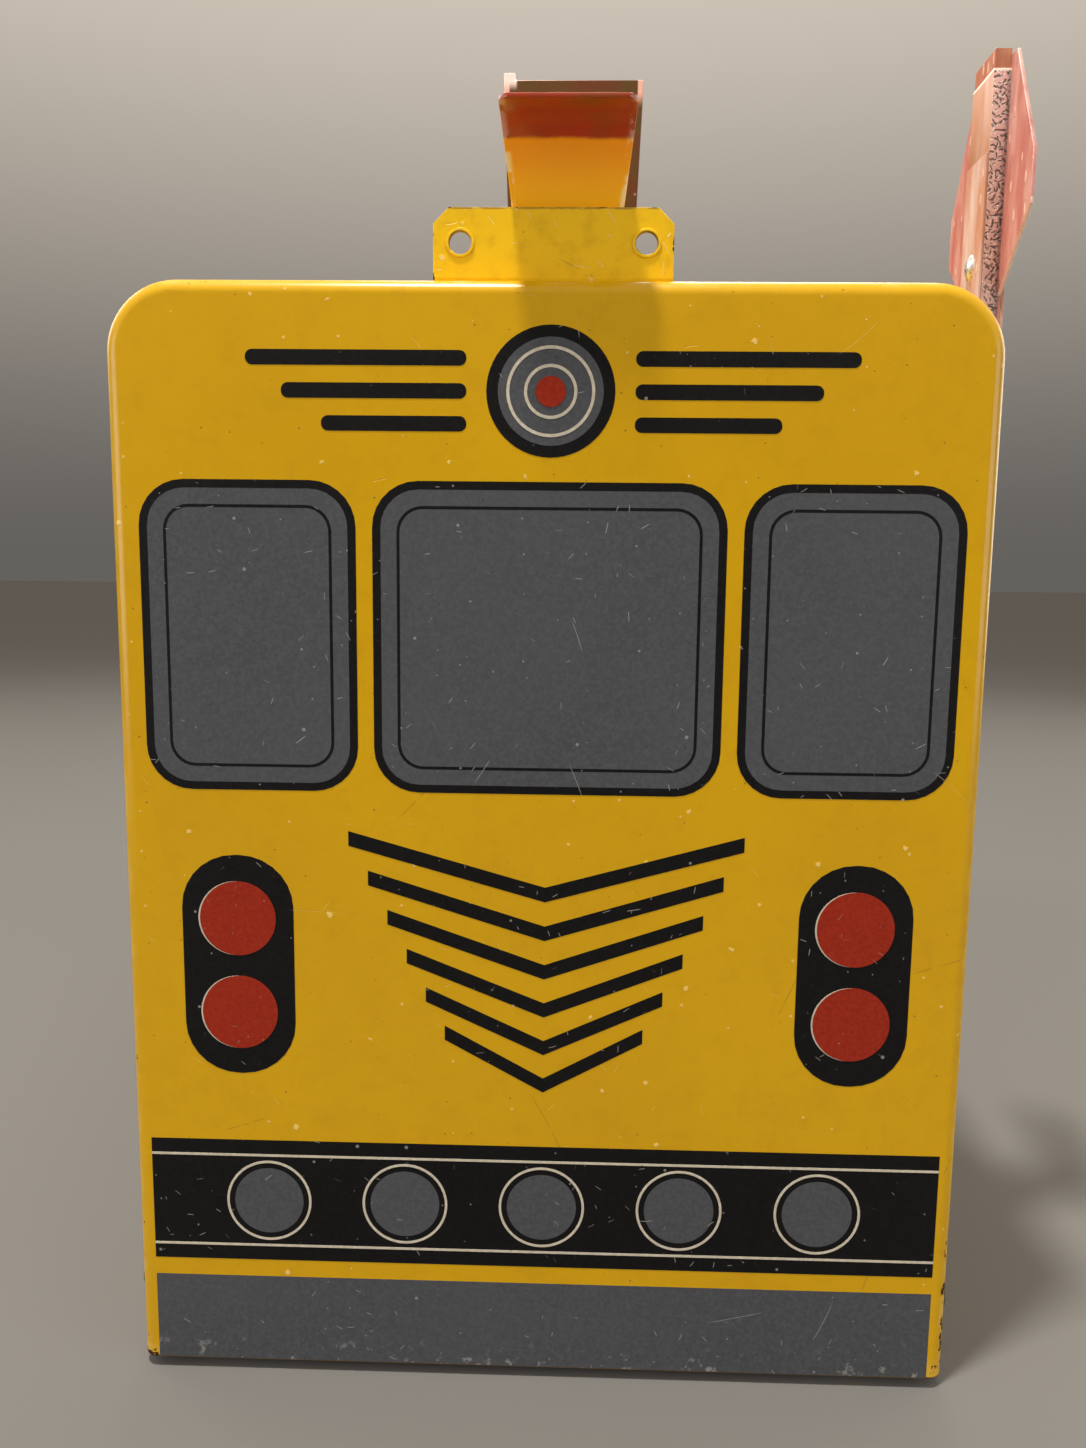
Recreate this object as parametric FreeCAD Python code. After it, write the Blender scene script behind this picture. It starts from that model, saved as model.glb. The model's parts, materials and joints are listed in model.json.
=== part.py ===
import FreeCAD, Part
import math
import os

# A sheet-metal letter box with a drop-down door, a spring catch and a signal flag.
# It is drawn with the door's face at y = 0, the ground at z = 0 and the door's middle at x = 0, in
# millimetres, and is moved at the end so that the origin is the middle of the board seat under the floor.

V = FreeCAD.Vector
RIGHT = V(1, 0, 0)
UP = V(0, 0, 1)

# Box
sheet = 0.8
box_width = 203.0
box_height = 267.0
box_length = 508.0
corner_radius = 16.5
fold_radius = 3.5
fit_gap = 0.1

# Door
door_flange = 18.0
door_side_gap = 0.7
door_top_gap = 2.0
door_lift = 2.4
door_open = 88.0
flange_corner = 8.0
front_clearance = 0.6

# Door hinge
hinge_setback = 8.0
hinge_height = 20.0
hinge_pin_radius = 2.4
hinge_head_radius = 3.8
hinge_head_height = 1.8
hinge_tail_radius = 4.0
hinge_tail_height = 1.2
hinge_washer = 0.5
hinge_play = 0.2
ear_radius = 5.4
swing_clearance = 1.2
swing_margin_angle = 4.0
running_clearance = 0.05

# Floor and rear wall
seat_clearance = 1.0
floor_skirt = 17.0
floor_bend = 1.6
rear_recess = 3.0
rear_flange = 15.0
rear_lift = 2.4
screw_drop = 10.0
screw_hole_radius = 2.4
screw_spacing = 240.0
floor_rivet_inset = 25.0
rear_rivet_inset = 35.0
rear_roof_rivet_spacing = 110.0

# Rivets
rivet_radius = 1.6
rivet_head_radius = 3.2
rivet_head_height = 1.2
rivet_tail_radius = 2.6
rivet_tail_height = 0.8
small_rivet_radius = 1.2
small_head_radius = 2.4
small_head_height = 0.9
small_tail_radius = 2.0

# Keeper tab
tab_width = 55.0
tab_height = 17.5
tab_thickness = 1.2
tab_bend = 1.0
tab_setback = 8.4
tab_clip = 3.6
tab_foot_margin = 0.6
tab_hole_radius = 2.5
tab_hole_spacing = 42.6
tab_hole_height = 9.7
tab_rivet_spacing = 45.0

# Pull tongue
pull_offset = 3.2
pull_thickness = 1.0
pull_bend = 1.5
pull_gap = 0.4
pull_base_width = 24.8
pull_lip_width = 29.8
pull_curl_radius = 19.0
pull_curl_height = 14.4
pull_curl_angle = 93.0
pull_lip_corner = 3.0
pull_rivet_spacing = 16.0

# Spring catch
catch_offset = 4.1
catch_thickness = 1.0
catch_bend = 2.5
catch_setback = 20.5
catch_flex = 58.0
catch_flex_gap = 0.3
catch_lift_gap = 0.3
catch_base_width = 29.0
catch_top_width = 32.8
catch_rise = 49.6
catch_side_depth = 3.5
catch_side_start = 8.0
catch_lug_width = 2.8
catch_lug_rise = 1.6
anchor_length = 24.0
catch_rivet_spacing = 16.0
nib_width = 8.0
nib_reach = 6.0
nib_gap = 0.6
nib_window = 7.0

# Flag
flag_setback = 47.5
flag_pivot_drop = 46.0
bracket_sheet = 1.0
bracket_rise = 5.8
bracket_width = 34.0
bracket_raise_height = 28.0
bracket_height = 54.0
bracket_rivet_spacing = 41.0
stop_radius = 1.5
stop_gap = 0.3
stop_reach = 10.0
stop_rise = 2.4
pivot_radius = 2.5
pivot_head_radius = 5.0
pivot_head_height = 2.0
pivot_tail_radius = 4.0
pivot_tail_height = 1.2
washer_space = 1.8
washer_play = 0.1
spring_washer_radius = 6.0
bush_wall = 1.5
strap_thickness = 0.8
arm_width = 14.0
arm_depth = 4.1
sign_thickness = 1.0
sign_width = 57.0
sign_height = 59.0
sign_side = 12.5
sign_side_drop = 4.75
sign_top_cut = 14.3
sign_low_cut = 18.5
sign_offset = 4.3
sign_rise = 80.5
arm_top_reach = 1.3
inner_strap_rise = 87.0
outer_strap_rise = 69.0
flag_rivet_low = 31.0
flag_rivet_spacing = 30.0

# Places that follow from the sizes above
door_half = box_width / 2
shell_half = door_half - sheet - door_side_gap
shell_inner = shell_half - sheet
roof_top = box_height - sheet - door_top_gap
roof_under = roof_top - sheet
shell_corner = corner_radius - sheet - door_side_gap
shell_front = fold_radius + front_clearance
lining_half = shell_inner - fit_gap
lining_top = roof_under - fit_gap
lining_corner = shell_corner - sheet - fit_gap
seat_height = hinge_height + hinge_tail_radius + seat_clearance
floor_top = seat_height + sheet
rear_face = box_length - rear_recess
floor_front = shell_front
floor_rear = rear_face - fold_radius - front_clearance
seat_middle = (floor_front + floor_rear) / 2
swing_radius = math.hypot(hinge_setback, hinge_height - door_lift) + swing_clearance
skirt_front = hinge_setback + swing_radius + swing_clearance
skirt_line = seat_height - screw_drop
foot_rear = door_flange - tab_foot_margin
pull_front = tab_setback + tab_thickness + pull_gap
pull_low = box_height + tab_thickness
foot_line = (pull_front + pull_thickness + pull_bend + foot_rear) / 2
catch_low = roof_top + catch_lift_gap
pivot_y = flag_setback
pivot_z = box_height - flag_pivot_drop
bracket_face = shell_half + bracket_rise
strap_in = bracket_face + washer_space
arm_in = strap_in + strap_thickness
sign_in = arm_in + arm_depth
strap_out = sign_in + sign_thickness
flag_out = strap_out + strap_thickness
sign_top = pivot_z + sign_rise + sign_height / 2
beyond = box_length + box_height + box_width


def line(start, end):
    return Part.LineSegment(start, end).toShape()


def arc(start, middle, end):
    return Part.Arc(start, middle, end).toShape()


def on_circle(centre, radius, degrees, across):
    # A point on a circle in the x-z plane where across is true, and otherwise in the y-z plane.
    angle = math.radians(degrees)
    level = radius * math.cos(angle)
    rise = radius * math.sin(angle)
    if across:
        return centre + V(level, 0, rise)
    return centre + V(0, level, rise)


def block(left, right, front, rear, low, high):
    return Part.makeBox(right - left, rear - front, high - low, V(left, front, low))


def plate(points, direction):
    return Part.Face(Part.makePolygon(points + [points[0]])).extrude(direction)


def hole(spot, direction, radius, reach):
    # A round cutter that passes through the spot both ways.
    start = spot - direction * reach
    return Part.makeCylinder(radius, 2 * reach, start, direction)


def drilled(shape, spots, direction, radius, reach):
    for spot in spots:
        shape = shape.cut(hole(spot, direction, radius, reach))
    return shape


def arch(half, low, high, radius, front, rear):
    # A block with square feet and two rounded shoulders, seen from the front.
    left = V(radius - half, front, high - radius)
    right = V(half - radius, front, high - radius)
    points = [V(-half, front, low), on_circle(left, radius, 180, True), on_circle(left, radius, 90, True)]
    points += [on_circle(right, radius, 90, True), on_circle(right, radius, 0, True), V(half, front, low)]
    edges = [
        line(points[0], points[1]),
        arc(points[1], on_circle(left, radius, 135, True), points[2]),
        line(points[2], points[3]),
        arc(points[3], on_circle(right, radius, 45, True), points[4]),
        line(points[4], points[5]),
        line(points[5], points[0]),
    ]
    return Part.Face(Part.Wire(edges)).extrude(V(0, rear - front, 0))


def folded_arch(half, low, high, radius, front, rear, face, fold):
    # The same block with the edge round one of its two ends folded over, except along the foot.
    solid = arch(half, low, high, radius, front, rear)
    rim = []
    for edge in solid.Edges:
        level = edge.CenterOfMass
        flat = edge.BoundBox.YLength < fold / 10
        if flat and abs(level.y - face) < fold / 10 and level.z > low + fold:
            rim.append(edge)
    return solid.makeFillet(fold, rim)


def rivet(spot, out, grip, radius, head, tail):
    # A domed head on the outside, a shank as long as the grip and a flat tail.
    head_radius, head_height = head
    tail_radius, tail_height = tail
    dome = (head_radius ** 2 + head_height ** 2) / (2 * head_height)
    half_angle = math.asin(min(1, head_radius / dome)) / 2
    crown = V(dome * math.sin(half_angle), 0, head_height - dome + dome * math.cos(half_angle))
    points = [
        V(0, 0, head_height),
        V(0, 0, -grip - tail_height),
        V(tail_radius, 0, -grip - tail_height),
        V(tail_radius, 0, -grip),
        V(radius, 0, -grip),
        V(radius, 0, 0),
        V(head_radius, 0, 0),
    ]
    edges = []
    for start, end in zip(points, points[1:]):
        edges.append(line(start, end))
    edges.append(arc(points[-1], crown, points[0]))
    solid = Part.Face(Part.Wire(edges)).revolve(V(0, 0, 0), UP, 360)
    solid.Placement = FreeCAD.Placement(spot, FreeCAD.Rotation(UP, out))
    return solid


def body_rivet(spot, out, grip):
    head = (rivet_head_radius, rivet_head_height)
    tail = (rivet_tail_radius, rivet_tail_height)
    return rivet(spot, out, grip, rivet_radius, head, tail)


def small_rivet(spot, out, grip):
    head = (small_head_radius, small_head_height)
    tail = (small_tail_radius, rivet_tail_height)
    return rivet(spot, out, grip, small_rivet_radius, head, tail)


def bent_strip(half, front, rear, low, high, thickness, bend):
    # A foot that runs to the rear and turns up into an upright at its front.
    outer = bend + thickness
    centre = V(-half, front + outer, low + outer)
    points = [
        V(-half, rear, low),
        on_circle(centre, outer, 270, False),
        on_circle(centre, outer, 180, False),
        V(-half, front, high),
        V(-half, front + thickness, high),
        on_circle(centre, bend, 180, False),
        on_circle(centre, bend, 270, False),
        V(-half, rear, low + thickness),
    ]
    edges = [
        line(points[0], points[1]),
        arc(points[1], on_circle(centre, outer, 225, False), points[2]),
        line(points[2], points[3]),
        line(points[3], points[4]),
        line(points[4], points[5]),
        arc(points[5], on_circle(centre, bend, 225, False), points[6]),
        line(points[6], points[7]),
        line(points[7], points[0]),
    ]
    return Part.Face(Part.Wire(edges)).extrude(V(2 * half, 0, 0))


def hinge_spot(side, distance):
    return V(side * distance, hinge_setback, hinge_height)


def flag_spot(x, rise):
    return V(x, pivot_y, pivot_z + rise)


def rear_rivet_spots():
    # Three on each side wall and two on the roof, with the way each head faces.
    row = rear_face - rear_flange / 2
    low = floor_top + rear_rivet_inset
    high = roof_top - shell_corner - rear_rivet_inset
    spots = []
    for side in (-1, 1):
        for step in (0, 0.5, 1):
            spots.append((V(side * shell_half, row, low + step * (high - low)), RIGHT * side))
    for side in (-1, 1):
        spots.append((V(side * rear_roof_rivet_spacing / 2, row, roof_top), UP))
    return spots


def floor_rivet_spots():
    first = skirt_front + floor_rivet_inset
    last = floor_rear - floor_rivet_inset
    spots = []
    for side in (-1, 1):
        for step in (0, 0.5, 1):
            spots.append((V(side * shell_half, first + step * (last - first), skirt_line), RIGHT * side))
    return spots


def screw_spots():
    spots = []
    for end in (-1, 1):
        spots.append(V(0, seat_middle + end * screw_spacing / 2, skirt_line))
    return spots


def catch_rivet_spots():
    row = catch_flex + catch_flex_gap + anchor_length / 2
    spots = []
    for side in (-1, 1):
        spots.append(V(catch_offset + side * catch_rivet_spacing / 2, row, roof_top + catch_thickness))
    return spots


def bracket_rivet_spots():
    spots = []
    for end in (-1, 1):
        spots.append(flag_spot(shell_half + bracket_sheet, end * bracket_rivet_spacing / 2))
    return spots


def tab_wing_spots():
    return [V(side * tab_rivet_spacing / 2, foot_line, pull_low) for side in (-1, 1)]


def pull_foot_spots():
    top = pull_low + pull_thickness
    return [V(pull_offset + side * pull_rivet_spacing / 2, foot_line, top) for side in (-1, 1)]


def flag_rivet_spots():
    return [flag_spot(strap_in, flag_rivet_low + step * flag_rivet_spacing) for step in (0, 1)]


def swing_room():
    # The wedge round the hinge that the door's lower edge sweeps as it drops.
    lead = 180 + math.degrees(math.atan2(hinge_height - door_lift, hinge_setback - sheet))
    last = lead + door_open + swing_margin_angle
    centre = hinge_spot(-1, beyond)
    start = on_circle(centre, swing_radius, 180, False)
    middle = on_circle(centre, swing_radius, (180 + last) / 2, False)
    end = on_circle(centre, swing_radius, last, False)
    edges = [line(centre, start), arc(start, middle, end), line(end, centre)]
    return Part.Face(Part.Wire(edges)).extrude(V(2 * beyond, 0, 0))


def body_shell():
    outer = arch(shell_half, 0, roof_top, shell_corner, shell_front, box_length)
    inner_corner = shell_corner - sheet
    inner = arch(shell_inner, -sheet, roof_under, inner_corner, shell_front - sheet, box_length + sheet)
    shell = outer.cut(inner).cut(swing_room())
    for side in (-1, 1):
        ear = Part.makeCylinder(ear_radius, sheet, hinge_spot(side, shell_inner), RIGHT * side)
        shell = shell.fuse(ear)
    shell = shell.removeSplitter()
    bore = hinge_pin_radius + running_clearance
    shell = drilled(shell, [hinge_spot(1, 0)], RIGHT, bore, door_half)
    rivet_bore = rivet_radius + running_clearance
    for spot, out in rear_rivet_spots() + floor_rivet_spots():
        shell = drilled(shell, [spot], out, rivet_bore, 2 * sheet)
    shell = drilled(shell, catch_rivet_spots(), UP, rivet_bore, 2 * sheet + 2 * catch_thickness)
    shell = drilled(shell, bracket_rivet_spots(), RIGHT, rivet_bore, 2 * sheet + 2 * bracket_sheet)
    return drilled(shell, screw_spots(), RIGHT, screw_hole_radius, door_half)


def rear_panel():
    front = rear_face - rear_flange
    inner_half = lining_half - sheet
    inner_top = lining_top - sheet
    inner_corner = lining_corner - sheet
    inner_face = rear_face - sheet
    fold = fold_radius
    outer = folded_arch(lining_half, rear_lift, lining_top, lining_corner, front, rear_face, rear_face, fold)
    inner = folded_arch(inner_half, rear_lift - 2 * fold, inner_top, inner_corner, front - sheet, inner_face,
                        inner_face, fold - sheet)
    panel = outer.cut(inner)
    above_floor = floor_top + front_clearance
    below = block(-beyond, beyond, front - sheet, rear_face - fold, rear_lift - sheet, above_floor)
    panel = panel.cut(below)
    rivet_bore = rivet_radius + running_clearance
    for spot, out in rear_rivet_spots():
        panel = drilled(panel, [spot], out, rivet_bore, 4 * sheet)
    return panel


def floor_pan():
    low = seat_height - floor_skirt
    outer = block(-lining_half, lining_half, floor_front, floor_rear, low, floor_top)
    inner_half = lining_half - sheet
    inner = block(-inner_half, inner_half, floor_front - sheet, floor_rear + sheet, low - sheet, seat_height)
    pan = outer.makeFillet(floor_bend, long_edges(outer, floor_top))
    pan = pan.cut(inner.makeFillet(floor_bend - sheet, long_edges(inner, seat_height)))
    pan = pan.cut(block(-beyond, beyond, floor_front - sheet, skirt_front, low - sheet, seat_height))
    rivet_bore = rivet_radius + running_clearance
    for spot, out in floor_rivet_spots():
        pan = drilled(pan, [spot], out, rivet_bore, 4 * sheet)
    return drilled(pan, screw_spots(), RIGHT, screw_hole_radius, door_half)


def long_edges(solid, height):
    # The two edges that run from front to rear at the given height.
    found = []
    for edge in solid.Edges:
        flat = edge.BoundBox.ZLength < sheet / 10
        if flat and edge.BoundBox.YLength > sheet and abs(edge.CenterOfMass.z - height) < sheet / 10:
            found.append(edge)
    return found


def door_panel():
    inner_low = door_lift - 2 * fold_radius
    inner_top = box_height - sheet
    inner_corner = corner_radius - sheet
    inner_half = door_half - sheet
    fold = fold_radius
    outer = folded_arch(door_half, door_lift, box_height, corner_radius, 0, door_flange, 0, fold)
    inner = folded_arch(inner_half, inner_low, inner_top, inner_corner, sheet, door_flange + sheet, sheet,
                        fold - sheet)
    door = outer.cut(inner)
    corner_low = door_lift + flange_corner
    corner_front = door_flange - flange_corner
    corner = block(-beyond, beyond, corner_front, door_flange + sheet, door_lift - sheet, corner_low)
    kept = hole(V(0, corner_front, corner_low), RIGHT, flange_corner, 2 * beyond)
    door = door.cut(corner.cut(kept))
    door = drilled(door, [hinge_spot(1, 0)], RIGHT, hinge_pin_radius + running_clearance, box_width)
    spots = tab_wing_spots() + pull_foot_spots()
    bore = small_rivet_radius + running_clearance
    return drilled(door, spots, UP, bore, 2 * sheet + 2 * tab_thickness + 2 * pull_thickness)


def hinge_rivet(side):
    # The head stands a little clear of the door's side, so that the door turns under it.
    under_head = door_half + hinge_play
    head = (hinge_head_radius, hinge_head_height)
    tail = (hinge_tail_radius, hinge_tail_height)
    spot = hinge_spot(side, under_head)
    return rivet(spot, RIGHT * side, under_head - shell_inner, hinge_pin_radius, head, tail)


def hinge_washers():
    # One ring on each side, in the gap between the wall's ear and the door's turned side.
    radius = hinge_setback - fold_radius - hinge_play
    start = shell_half + (door_side_gap - hinge_washer) / 2
    rings = []
    for side in (-1, 1):
        spot = hinge_spot(side, start)
        ring = Part.makeCylinder(radius, hinge_washer, spot, RIGHT * side)
        rings.append(ring.cut(hole(spot, RIGHT, hinge_pin_radius + running_clearance, door_half)))
    return Part.makeCompound(rings)


def rear_rivets():
    grip = 2 * sheet + fit_gap
    return Part.makeCompound([body_rivet(spot, out, grip) for spot, out in rear_rivet_spots()])


def floor_rivets():
    grip = 2 * sheet + fit_gap
    return Part.makeCompound([body_rivet(spot, out, grip) for spot, out in floor_rivet_spots()])


def keeper_tab():
    half = tab_width / 2
    top = box_height + tab_height
    tab = bent_strip(half, tab_setback, foot_rear, box_height, top, tab_thickness, tab_bend)
    for side in (-1, 1):
        corner = V(side * half, 0, top)
        clip = [corner - UP * tab_clip, corner, corner - RIGHT * side * tab_clip]
        tab = tab.cut(plate(clip, V(0, 2 * door_flange, 0)))
    height = box_height + tab_hole_height
    holes = [V(side * tab_hole_spacing / 2, tab_setback, height) for side in (-1, 1)]
    tab = drilled(tab, holes, V(0, 1, 0), tab_hole_radius, 2 * tab_thickness)
    spots = tab_wing_spots() + pull_foot_spots()
    bore = small_rivet_radius + running_clearance
    return drilled(tab, spots, UP, bore, 2 * tab_thickness + 2 * pull_thickness)


def pull_tongue():
    # A foot on the tab's foot, an upright behind the tab and a lip that curls forward over it.
    half = pull_lip_width / 2
    curl_low = box_height + pull_curl_height
    strip = bent_strip(half, pull_front, foot_rear, pull_low, curl_low, pull_thickness, pull_bend)
    centre = V(-half, pull_front - pull_curl_radius, curl_low)
    outer_radius = pull_curl_radius + pull_thickness
    inner = [on_circle(centre, pull_curl_radius, step * pull_curl_angle, False) for step in (0, 0.5, 1)]
    outer = [on_circle(centre, outer_radius, step * pull_curl_angle, False) for step in (0, 0.5, 1)]
    edges = [arc(*inner), line(inner[2], outer[2]), arc(*reversed(outer)), line(outer[0], inner[0])]
    strip = strip.fuse(Part.Face(Part.Wire(edges)).extrude(V(2 * half, 0, 0))).removeSplitter()
    strip = strip.common(pull_flare(curl_low, curl_low + outer_radius))
    strip.translate(V(pull_offset, 0, 0))
    strip = strip.makeFillet(pull_lip_corner, lip_corners(strip, outer[2].y))
    return drilled(strip, pull_foot_spots(), UP, small_rivet_radius + running_clearance, 2 * pull_thickness)


def pull_flare(low, high):
    # What the pull keeps, seen from the front: straight below, widening up to the lip.
    base = pull_base_width / 2
    lip = pull_lip_width / 2
    foot = box_height - sheet
    points = [V(-base, -beyond, foot), V(-base, -beyond, low), V(-lip, -beyond, high)]
    points += [V(lip, -beyond, high), V(base, -beyond, low), V(base, -beyond, foot)]
    return plate(points, V(0, 2 * beyond, 0))


def lip_corners(strip, front):
    # The two short upright edges at the ends of the lip.
    found = []
    for edge in strip.Edges:
        near = abs(edge.CenterOfMass.y - front) < pull_thickness
        if near and edge.Length < 2 * pull_thickness and edge.BoundBox.ZLength > pull_thickness / 2:
            found.append(edge)
    return found


def tab_rivets():
    under = sheet + tab_thickness
    solids = [small_rivet(spot, UP, under) for spot in tab_wing_spots()]
    solids += [small_rivet(spot, UP, under + pull_thickness) for spot in pull_foot_spots()]
    return Part.makeCompound(solids)


def catch_anchor():
    half = catch_base_width / 2
    front = catch_flex + catch_flex_gap
    anchor = block(catch_offset - half, catch_offset + half, front, front + anchor_length, roof_top,
                   roof_top + catch_thickness)
    return drilled(anchor, catch_rivet_spots(), UP, rivet_radius + running_clearance, 2 * catch_thickness)


def catch_rivets():
    grip = catch_thickness + sheet
    return Part.makeCompound([body_rivet(spot, UP, grip) for spot in catch_rivet_spots()])


def catch_plate():
    # A leaf along the roof that turns up into the thumb plate, with turned sides and a nib struck forward.
    top = box_height + catch_rise
    lug_top = top + catch_lug_rise
    half = catch_reach(lug_top)
    strip = bent_strip(half, catch_setback, catch_flex, catch_low, lug_top, catch_thickness, catch_bend)
    strip = strip.common(catch_outline(top, lug_top))
    strip = strip.fuse([catch_side(-1, lug_top), catch_side(1, top)])
    nib_low = pull_low + pull_thickness + nib_gap
    nib_high = nib_low + catch_thickness
    nib_half = nib_width / 2
    rear = catch_setback + catch_thickness
    window = block(-nib_half, nib_half, catch_setback - sheet, rear + sheet, nib_high, nib_high + nib_window)
    nib = block(-nib_half, nib_half, catch_setback - nib_reach, rear, nib_low, nib_high)
    strip = strip.cut(window).fuse(nib).removeSplitter()
    strip.translate(V(catch_offset, 0, 0))
    return strip


def catch_reach(level):
    # How far the thumb plate's sloping edges stand from its middle at a level.
    base = catch_base_width / 2
    return base + (catch_top_width / 2 - base) * (level - box_height) / catch_rise


def catch_outline(top, lug_top):
    # What the catch keeps, seen from the front: a little wider at the top, with a lug at the left end.
    base = catch_base_width / 2
    foot = catch_low - sheet
    left = -catch_reach(lug_top)
    points = [V(-base, 0, foot), V(-base, 0, box_height), V(left, 0, lug_top)]
    points += [V(left + catch_lug_width, 0, level) for level in (lug_top, top)]
    points += [V(catch_reach(top), 0, top), V(base, 0, box_height), V(base, 0, foot)]
    return plate(points, V(0, beyond, 0))


def catch_side(side, high):
    # A side of the thumb plate, turned to the rear along its sloping edge.
    start = box_height + catch_side_start
    outer = [V(side * catch_reach(level), catch_setback, level) for level in (start, high)]
    inner = [point - RIGHT * side * catch_thickness for point in reversed(outer)]
    return plate(outer + inner, V(0, catch_side_depth, 0))


def flag_bracket():
    # A raised pressing with two feet on the wall, and two stops that stand out of its face.
    front = pivot_y - bracket_width / 2
    rear = pivot_y + bracket_width / 2
    raised = bracket_raise_height / 2
    full = bracket_height / 2
    bracket = block(shell_half, shell_half + bracket_sheet, front, rear, pivot_z - full, pivot_z + full)
    bracket = bracket.fuse(block(shell_half, bracket_face, front, rear, pivot_z - raised, pivot_z + raised))
    inside = raised - bracket_sheet
    pocket = block(shell_half - bracket_sheet, bracket_face - bracket_sheet, front - sheet, rear + sheet,
                   pivot_z - inside, pivot_z + inside)
    bracket = bracket.removeSplitter().cut(pocket)
    beside = arm_width / 2 + stop_radius + stop_gap
    for level, rise in ((-beside, stop_reach), (stop_reach, -beside)):
        spot = V(bracket_face - bracket_sheet / 2, pivot_y + level, pivot_z + rise)
        bracket = bracket.fuse(Part.makeCylinder(stop_radius, stop_rise + bracket_sheet / 2, spot, RIGHT))
    pivot_bore = pivot_radius + running_clearance
    bracket = drilled(bracket, [flag_spot(bracket_face, 0)], RIGHT, pivot_bore, bracket_rise)
    rivet_bore = rivet_radius + running_clearance
    return drilled(bracket, bracket_rivet_spots(), RIGHT, rivet_bore, 2 * bracket_sheet)


def flag_bracket_rivets():
    grip = bracket_sheet + sheet
    return Part.makeCompound([body_rivet(spot, RIGHT, grip) for spot in bracket_rivet_spots()])


def flag_pivot_rivet():
    under_head = flag_out + hinge_play
    head = (pivot_head_radius, pivot_head_height)
    tail = (pivot_tail_radius, pivot_tail_height)
    grip = under_head - bracket_face + bracket_sheet
    return rivet(flag_spot(under_head, 0), RIGHT, grip, pivot_radius, head, tail)


def flag_spring_washer():
    start = bracket_face + washer_play
    ring = Part.makeCylinder(spring_washer_radius, washer_space - 2 * washer_play, flag_spot(start, 0), RIGHT)
    return drilled(ring, [flag_spot(start, 0)], RIGHT, pivot_radius + running_clearance, 2 * washer_space)


def flag_drilled(piece, with_rivets):
    piece = drilled(piece, [flag_spot(strap_in, 0)], RIGHT, pivot_radius + running_clearance, flag_out)
    if with_rivets:
        piece = drilled(piece, flag_rivet_spots(), RIGHT, rivet_radius + running_clearance, flag_out)
    return piece


def flag_strap(left, thickness, rise):
    # A strip with a round end about the pivot.
    half = arm_width / 2
    strap = block(left, left + thickness, pivot_y - half, pivot_y + half, pivot_z, pivot_z + rise)
    end = Part.makeCylinder(half, thickness, flag_spot(left, 0), RIGHT)
    return flag_drilled(strap.fuse(end).removeSplitter(), True)


def flag_inner_strap():
    return flag_strap(strap_in, strap_thickness, inner_strap_rise)


def flag_outer_strap():
    return flag_strap(strap_out, strap_thickness, outer_strap_rise)


def flag_arm():
    # A channel whose web faces the box and whose sides reach the sign.
    half = arm_width / 2
    low = pivot_z - half
    high = sign_top + arm_top_reach
    arm = block(arm_in, sign_in, pivot_y - half, pivot_y + half, low, high)
    inside = half - sheet
    hollow = block(arm_in + sheet, sign_in + sheet, pivot_y - inside, pivot_y + inside,
                   low - sheet, high + sheet)
    return flag_drilled(arm.cut(hollow), True)


def flag_sign():
    # An eight-sided plate, widest below its middle, with a tang that runs down to the pivot.
    half_width = sign_width / 2
    half_height = sign_height / 2
    top_level = half_width - sign_top_cut
    low_level = half_width - sign_low_cut
    side_high = sign_side / 2 - sign_side_drop
    side_low = -sign_side / 2 - sign_side_drop
    corners = [(top_level, half_height), (half_width, side_high), (half_width, side_low)]
    corners.append((low_level, -half_height))
    corners += [(-y, z) for y, z in reversed(corners)]
    points = [V(sign_in, pivot_y + sign_offset + y, pivot_z + sign_rise + z) for y, z in corners]
    sign = plate(points, RIGHT * sign_thickness)
    half = arm_width / 2
    tang = block(sign_in, strap_out, pivot_y - half, pivot_y + half, pivot_z, pivot_z + sign_rise)
    end = Part.makeCylinder(half, sign_thickness, flag_spot(sign_in, 0), RIGHT)
    return flag_drilled(sign.fuse([tang, end]).removeSplitter(), True)


def flag_pivot_bush():
    start = arm_in + sheet
    bush = Part.makeCylinder(pivot_radius + bush_wall, sign_in - start, flag_spot(start, 0), RIGHT)
    return flag_drilled(bush, False)


def flag_rivets():
    grip = flag_out - strap_in
    return Part.makeCompound([body_rivet(spot, -RIGHT, grip) for spot in flag_rivet_spots()])


pieces = {
    "body_shell": body_shell(),
    "rear_panel": rear_panel(),
    "floor_pan": floor_pan(),
    "rear_rivets": rear_rivets(),
    "floor_rivets": floor_rivets(),
    "door_panel": door_panel(),
    "hinge_rivet_left": hinge_rivet(-1),
    "hinge_rivet_right": hinge_rivet(1),
    "hinge_washers": hinge_washers(),
    "keeper_tab": keeper_tab(),
    "pull_tongue": pull_tongue(),
    "tab_rivets": tab_rivets(),
    "catch_anchor": catch_anchor(),
    "catch_rivets": catch_rivets(),
    "catch_plate": catch_plate(),
    "flag_bracket": flag_bracket(),
    "flag_bracket_rivets": flag_bracket_rivets(),
    "flag_pivot_rivet": flag_pivot_rivet(),
    "flag_spring_washer": flag_spring_washer(),
    "flag_pivot_bush": flag_pivot_bush(),
    "flag_arm": flag_arm(),
    "flag_sign": flag_sign(),
    "flag_inner_strap": flag_inner_strap(),
    "flag_outer_strap": flag_outer_strap(),
    "flag_rivets": flag_rivets(),
}

os.makedirs("parts", exist_ok=True)
to_seat = V(0, -seat_middle, -seat_height)
for name, shape in pieces.items():
    shape.translate(to_seat)
    shape.exportStep(os.path.join("parts", name + ".step"))
    print(name, len(shape.Solids), shape.isValid(), round(shape.Volume, 1))
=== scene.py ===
import json
import math

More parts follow.
